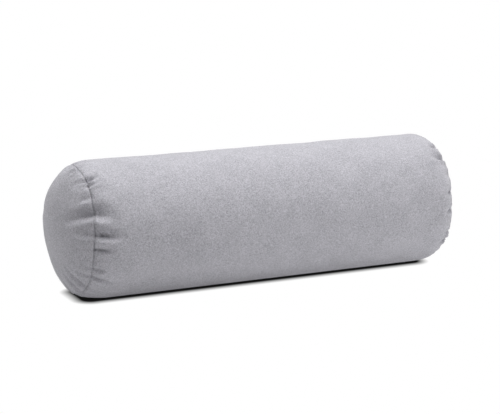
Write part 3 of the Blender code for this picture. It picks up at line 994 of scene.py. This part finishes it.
stitch = {
    "wide": 0.00055,
    "topPitch": 0.0036,
    "topLong": 0.0030,
    "topUp": 0.0085,       # the topstitched row's distance from the zip's line
    "topOut": 0.0003,
    "topIn": 0.0003,       # how much shorter it is at each end than its plain solid
    "seamDepth": 0.0034,   # how far down its allowance a seam's stitches lie
    "share": 0.82,         # how much of each step the thread shows
    "shareOfAllowance": 0.6,
    "backBetween": (10.0, 40.0),   # degrees that the back seam lies between
    "backDepth": 0.0030,
    "halvings": 20,        # of the angle, until the back seam is found
}


def ringStitches(ring, side, layer, every):
    runs = []
    for i in range(0, len(ring), every):
        pair = []
        for co in (ring[i], ring[i].lerp(ring[(i + every) % len(ring)], stitch["share"])):
            middle = Vector((co.x, 0, body["seamHeight"]))
            back = layer["seamGap"] + layer["wall"] + stitch["wide"] / 2
            depth = min(stitch["seamDepth"], layer["allowance"] * stitch["shareOfAllowance"])
            pair.append(co + (middle - co).normalized() * depth - Vector((side * back, 0, 0)))
        runs.append(pair)
    return runs


def topRuns():
    half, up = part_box("zip_topstitch")[1].x - stitch["topIn"], stitch["topUp"]
    corners = [(-half, -up), (half, -up), (half, up), (-half, up), (-half, -up)]
    runs = []
    for (x0, u0), (x1, u1) in zip(corners, corners[1:]):
        long = math.hypot(x1 - x0, u1 - u0)
        count = round(long / stitch["topPitch"])
        for i in range(count):
            a, b = i / count, (i + stitch["topLong"] / stitch["topPitch"]) / count
            runs.append([zipPoint(x0 + (x1 - x0) * s, u0 + (u1 - u0) * s, stitch["topOut"]) for s in (a, b)])
    return runs


def backSeamPoint(x):
    # where the cover crosses the zip's plane, further along than its slot
    low, high = (math.radians(a) for a in stitch["backBetween"])
    for i in range(stitch["halvings"]):
        angle = (low + high) / 2
        if (stuffedPoint(x, angle, cover) - zipMiddle).dot(zipUp) < 0:
            low = angle
        else:
            high = angle
    return outerPoint(x, angle, cover) - zipOut * stitch["backDepth"]


def backRuns(side):
    low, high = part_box("back_seam_thread_right")
    count = round((high.x - low.x) / stitch["topPitch"])
    step = (high.x - low.x) / count
    runs = []
    for i in range(count):
        a = low.x + step * i
        runs.append([backSeamPoint(side * a), backSeamPoint(side * (a + step * stitch["share"]))])
    return runs


closing = {
    "count": 34,
    "slant": 0.011,        # radians on each side of the opening
    "share": 0.7,
    "out": 0.0001,
}


def closingRuns():
    # slanted hand stitches along the part of the inner cushion that was left open for filling
    low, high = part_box("liner_closing_thread")
    angle = math.atan2((low.z + high.z) / 2 - belly, (low.y + high.y) / 2)
    step = (high.x - low.x) / closing["count"]
    runs = []
    for i in range(closing["count"]):
        x = low.x + step * i
        pair = [
            outerPoint(x, angle - closing["slant"], liner),
            outerPoint(x + step * closing["share"], angle + closing["slant"], liner),
        ]
        runs.append([co + (co - Vector((co.x, 0, belly))).normalized() * closing["out"] for co in pair])
    return runs


coil = {
    "pitch": 0.0015,
    "wire": 0.00027,
    "inner": -0.00008,     # past the middle, so that the two rows interlock
    "outer": 0.00205,
    "low": -0.00108,
    "high": 0.00012,
    "turnPoints": 8,
    "square": 0.7,         # below 1, the wire's loops are boxier than a circle
}


def makeCoil(name, way, look, node):
    low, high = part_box(node)
    turns = round((high.x - low.x - coil["pitch"]) / coil["pitch"])
    per = coil["turnPoints"]
    curve = bpy.data.curves.new(name, "CURVE")
    curve.dimensions = "3D"
    curve.bevel_depth = coil["wire"]
    curve.bevel_resolution = 1
    curve.use_fill_caps = True
    spline = curve.splines.new("POLY")
    spline.points.add(turns * per)
    for i, point in enumerate(spline.points):
        t = math.tau * i / per
        x = low.x + coil["pitch"] * (0.25 if way > 0 else 0.75) + coil["pitch"] * i / per
        c, s = math.cos(t), math.sin(t)
        up = (coil["inner"] + coil["outer"]) / 2 - c * (coil["outer"] - coil["inner"]) / 2
        rise = math.copysign(abs(s) ** coil["square"], s)
        out = (coil["low"] + coil["high"]) / 2 + rise * (coil["high"] - coil["low"]) / 2
        point.co = (*zipPoint(x, way * up, out), 1.0)
    maker = bpy.data.objects.new(name + "Maker", curve)
    mesh = bpy.data.meshes.new_from_object(maker)
    mesh.name = name
    mesh.shade_smooth()
    bpy.data.objects.remove(maker)
    bpy.data.curves.remove(curve)
    mesh.materials.clear()
    print(name, turns, "turns")
    finished(name, mesh, "bolster", look, [node])


cast = {
    "flat": 1.0,           # degrees, as is the next
    "sharp": 28.0,
    "segments": 2,
    "sliderEdge": 0.00022,
    "tabEdge": 0.00025,
    "stopEdge": 0.00015,
}


def makeSoftened(name, node, width, rides, look):
    # a metal piece as cast: the plain part with its sharp edges rounded off
    bm = bmesh.new()
    bm.from_mesh(frame["nodes"][node].data)
    bmesh.ops.remove_doubles(bm, verts=bm.verts, dist=1e-6)
    bmesh.ops.dissolve_limit(bm, angle_limit=math.radians(cast["flat"]), verts=bm.verts, edges=bm.edges)
    sharp = [e for e in bm.edges if e.is_manifold and e.calc_face_angle() > math.radians(cast["sharp"])]
    bmesh.ops.bevel(
        bm, geom=sharp, offset=width, offset_type="OFFSET", affect="EDGES", segments=cast["segments"],
        profile=0.5, material=-1, clamp_overlap=True,
    )
    bmesh.ops.recalc_face_normals(bm, faces=bm.faces)
    finished(name, meshFrom(name, bm), rides, look, [node])
    print(name, "made")


label = {
    "inset": 0.0019,
    "tuck": 0.0042,        # how far its top edge runs up under the zip tape
    "duck": 0.0008,        # what it gives way by, to pass under the tape
    "duckFrom": 0.75,
    "duckOver": 0.15,
    "wall": 0.0003,
    "columns": 20,
    "rows": 24,
}


def makeLabel(look):
    # a blank satin tab between the cover and the inner cushion
    low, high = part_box("care_label")
    start, stop = (math.asin((z - belly) / (body["height"] / 2)) for z in (low.z, high.z + label["tuck"]))
    bm = bmesh.new()
    bmesh.ops.create_grid(bm, x_segments=label["columns"], y_segments=label["rows"], size=0.5)
    for v in bm.verts:
        share = v.co.y + 0.5
        x = low.x + (high.x - low.x) * (v.co.x + 0.5)
        angle = start + (stop - start) * share
        point = outerPoint(x, angle, cover)
        inward = (Vector((x, 0, belly)) - point).normalized()
        duck = label["duck"] * smoothStep((share - label["duckFrom"]) / label["duckOver"])
        v.co = point + inward * (label["inset"] + duck)
    bmesh.ops.recalc_face_normals(bm, faces=bm.faces)
    bmesh.ops.solidify(bm, geom=list(bm.faces), thickness=label["wall"])
    piece = finished("careLabel", meshFrom("careLabel", bm), "bolster", look, ["care_label"])


def makeThread(name, colour):
    s = Surface(name, {"Roughness": 0.6, "Sheen Weight": 0.3, "Specular IOR Level": 0.3})
    fibre = s.noise(s.place(), 2600.0, 3.0, 0.6)
    s.end("Base Color", s.blendColour(fibre, grey(colour * 0.6), grey(colour * 1.3)))
    s.bump(fibre, 0.0001, 0.5)
    return s.material


tapeLook = {"rib": 0.0009, "chevron": 0.0036, "slant": 2.2, "tone": 0.30}


def makeTape():
    # a twill that turns back on itself every few ribs
    s = Surface("zip_tape", {"Roughness": 0.8, "Sheen Weight": 0.2, "Specular IOR Level": 0.2})
    x, y, z = s.split(s.place())
    slant = (z * (math.tau / tapeLook["chevron"])).maths("SINE").maths("ABSOLUTE") * tapeLook["slant"]
    rib = ((x * (math.tau / tapeLook["rib"])) + slant).maths("SINE")
    fuzz = s.noise(s.place(), 1500.0, 2.0, 0.6)
    tone = (rib * 0.22 + fuzz * 0.9).clamped()
    s.end("Base Color", s.blendColour(tone, grey(tapeLook["tone"] * 0.6), grey(tapeLook["tone"] * 1.35)))
    s.bump(rib * 0.5 + fuzz * 0.4, 0.0002, 0.8)
    return s.material


def makeNylon():
    s = Surface("zip_nylon", {"Specular IOR Level": 0.5})
    haze = s.noise(s.place(), 420.0, 3.0, 0.6)
    s.end("Base Color", s.blendColour(haze, grey(0.20), grey(0.32)))
    s.end("Roughness", haze * 0.2 + 0.28)
    s.bump(haze, 0.00005, 0.4)
    return s.material


def makeNickel():
    s = Surface("zip_metal", {"Metallic": 1.0})
    place = s.place()
    haze = s.noise(place, 300.0, 3.0, 0.6)
    scratch = s.noise(s.stretched(place, (60.0, 2400.0, 2400.0)), 1.0, 3.0, 0.7)
    s.end("Base Color", s.blendColour(haze, grey(0.62, 0.015), grey(0.78, 0.02)))
    s.end("Roughness", haze * 0.14 + scratch * 0.16 + 0.14)
    s.bump(scratch * 0.6 + haze * 0.3, 0.00004, 0.35)
    return s.material


def makeSatin():
    s = Surface("label_satin", {"Coat Roughness": 0.35, "Sheen Weight": 0.15, "Specular IOR Level": 0.5})
    warpThread = 0.00035
    x, y, z = s.split(s.place())
    warp = (x * (math.tau / warpThread)).maths("SINE")
    slub = s.noise(s.place(), 900.0, 2.0, 0.5)
    s.end("Base Color", s.blendColour((slub + warp * 0.12).clamped(), grey(0.72, 0.01), grey(0.90, 0.01)))
    s.end("Roughness", slub * 0.15 + 0.30)
    s.bump(warp * 0.4 + slub * 0.5, 0.00006, 0.5)
    return s.material


def makeCotton():
    # a plain weave: each thread goes over one and under the next
    s = Surface("liner_cotton", {"Roughness": 0.92, "Sheen Weight": 0.2, "Specular IOR Level": 0.15})
    thread = 0.0009
    u, v, flat = s.split(s.clothPlace())
    over = (u * (math.tau / thread)).maths("SINE") * (v * (math.tau / thread)).maths("SINE")
    slub = s.noise(s.place(), 420.0, 3.0, 0.6)
    crease = s.noise(s.place(), 26.0, 4.0, 0.6)
    # the crease noise also darkens the cloth where its creases sink: painted shade in the creases, besides
    # their bump
    tone = (slub * 0.8 + over * 0.12 + (crease - 0.5) * 0.5 + 0.1).clamped()
    s.end("Base Color", s.blendColour(tone, grey(0.62, 0.03), grey(0.84, 0.02)))
    s.bump(over * 0.3 + slub * 0.5 + crease * 1.5, 0.0006, 0.6)
    return s.material


def makeFibre():
    s = Surface("filling_fibre", {
        "Roughness": 1.0, "Sheen Weight": 0.6, "Sheen Roughness": 0.5, "Specular IOR Level": 0.1,
    })
    place = s.place()
    curl = s.noise(s.stretched(place, (300.0, 900.0, 900.0)), 1.0, 5.0, 0.75)
    cloud = s.noise(place, 60.0, 4.0, 0.6)
    s.end("Base Color", s.blendColour((curl * 0.7 + cloud * 0.3).clamped(), grey(0.70), grey(0.93)))
    s.bump(curl + cloud, 0.0012, 0.8)
    return s.material


makeCamera()
makeLight()
makeFloor()
makeCard()
print("camera, light and floor set")

folds = {side: coverPuckers[side] + gather() for side in (-1, 1)}
coverRings = makeCover(makeBrushedCloth(), folds)
linerRings = makeLiner(makeCotton(), folds)
makeFilling(makeFibre(), folds)

coverThread = makeThread("cover_thread", 0.30)
linerThread = makeThread("liner_thread", 0.72)


def sew(name, runs, slot, node):
    look = coverThread if slot == "cover_thread" else linerThread
    makeStitches(name, runs, stitch["wide"], look, [node])


for side, word in ((-1, "Left"), (1, "Right")):
    runs = ringStitches(coverRings[side], side, cover, 2)
    sew("coverSeamStitches" + word, runs, "cover_thread", "cover_end_seam_thread_" + word.lower())
    runs = ringStitches(linerRings[side], side, liner, 1)
    sew("linerSeamStitches" + word, runs, "liner_thread", "liner_end_seam_thread_" + word.lower())
    sew("backSeamStitches" + word, backRuns(side), "cover_thread", "back_seam_thread_" + word.lower())
sew("zipTopstitches", topRuns(), "cover_thread", "zip_topstitch")
sew("linerClosingStitches", closingRuns(), "liner_thread", "liner_closing_thread")

nylon = makeNylon()
makeCoil("zipCoilUpper", 1, nylon, "zip_coil_upper")
makeCoil("zipCoilLower", -1, nylon, "zip_coil_lower")
tape = makeTape()
for node in ("zip_tape_upper", "zip_tape_lower"):
    frame["nodes"][node].material_slots[0].material = tape
print("tapes given their twill")

nickel = makeNickel()
makeSoftened("zipSlider", "zip_slider", cast["sliderEdge"], "slider", nickel)
makeSoftened("zipPullTab", "zip_pull_tab", cast["tabEdge"], "pull_tab", nickel)
for node, name in (
    ("zip_top_stop_upper", "zipTopStopUpper"), ("zip_top_stop_lower", "zipTopStopLower"),
    ("zip_bottom_stop", "zipBottomStop"),
):
    makeSoftened(name, node, cast["stopEdge"], "bolster", nickel)
makeLabel(makeSatin())
